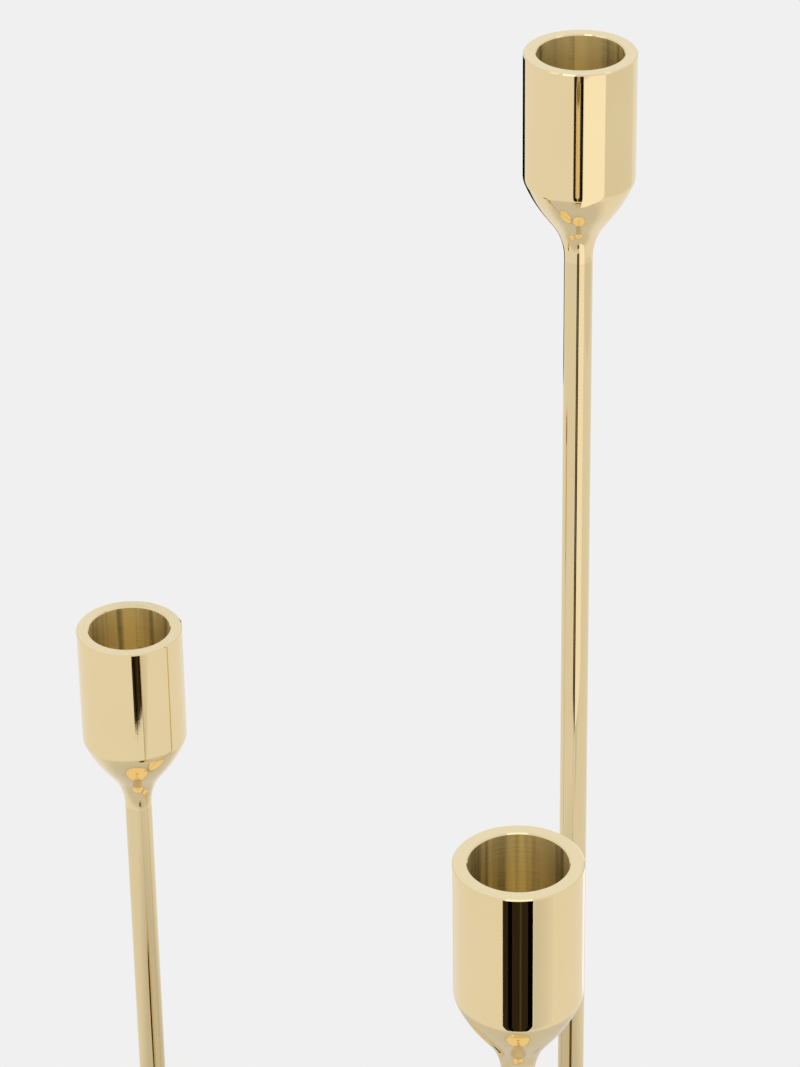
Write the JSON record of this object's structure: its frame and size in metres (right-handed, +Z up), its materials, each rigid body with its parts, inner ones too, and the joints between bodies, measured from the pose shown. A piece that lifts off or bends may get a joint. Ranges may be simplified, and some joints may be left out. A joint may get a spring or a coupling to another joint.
{
  "type": "candlestick group",
  "caption": "Group of slim polished brass candlesticks of different heights, each with a turned socket, a straight rod and a round foot.",
  "frame": {"origin": "centre of the underside of the tall candlestick's felt pad, on the table", "axes": "+Z up; +X from the low candlestick towards the tall one, +Y away from the middle-height one in front"},
  "size_m": [0.2407, 0.3473, 0.5],
  "materials": {
    "polished_brass": "mirror polished outside, turned inside the candle bore",
    "felt": "black pressed felt",
    "steel": "zinc-plated steel"
  },
  "bodies": {
    "root": {"tall_felt_pad": "felt", "tall_foot": "polished_brass", "tall_foot_washer": "steel", "tall_foot_screw": "steel", "tall_rod": "polished_brass", "tall_socket_stud": "steel", "tall_socket": "polished_brass", "low_felt_pad": "felt", "low_foot": "polished_brass", "low_foot_washer": "steel", "low_foot_screw": "steel", "low_rod": "polished_brass", "low_socket_stud": "steel", "low_socket": "polished_brass", "middle_felt_pad": "felt", "middle_foot": "polished_brass", "middle_foot_washer": "steel", "middle_foot_screw": "steel", "middle_rod": "polished_brass", "middle_socket_stud": "steel", "middle_socket": "polished_brass"}
  },
  "joints": []
}
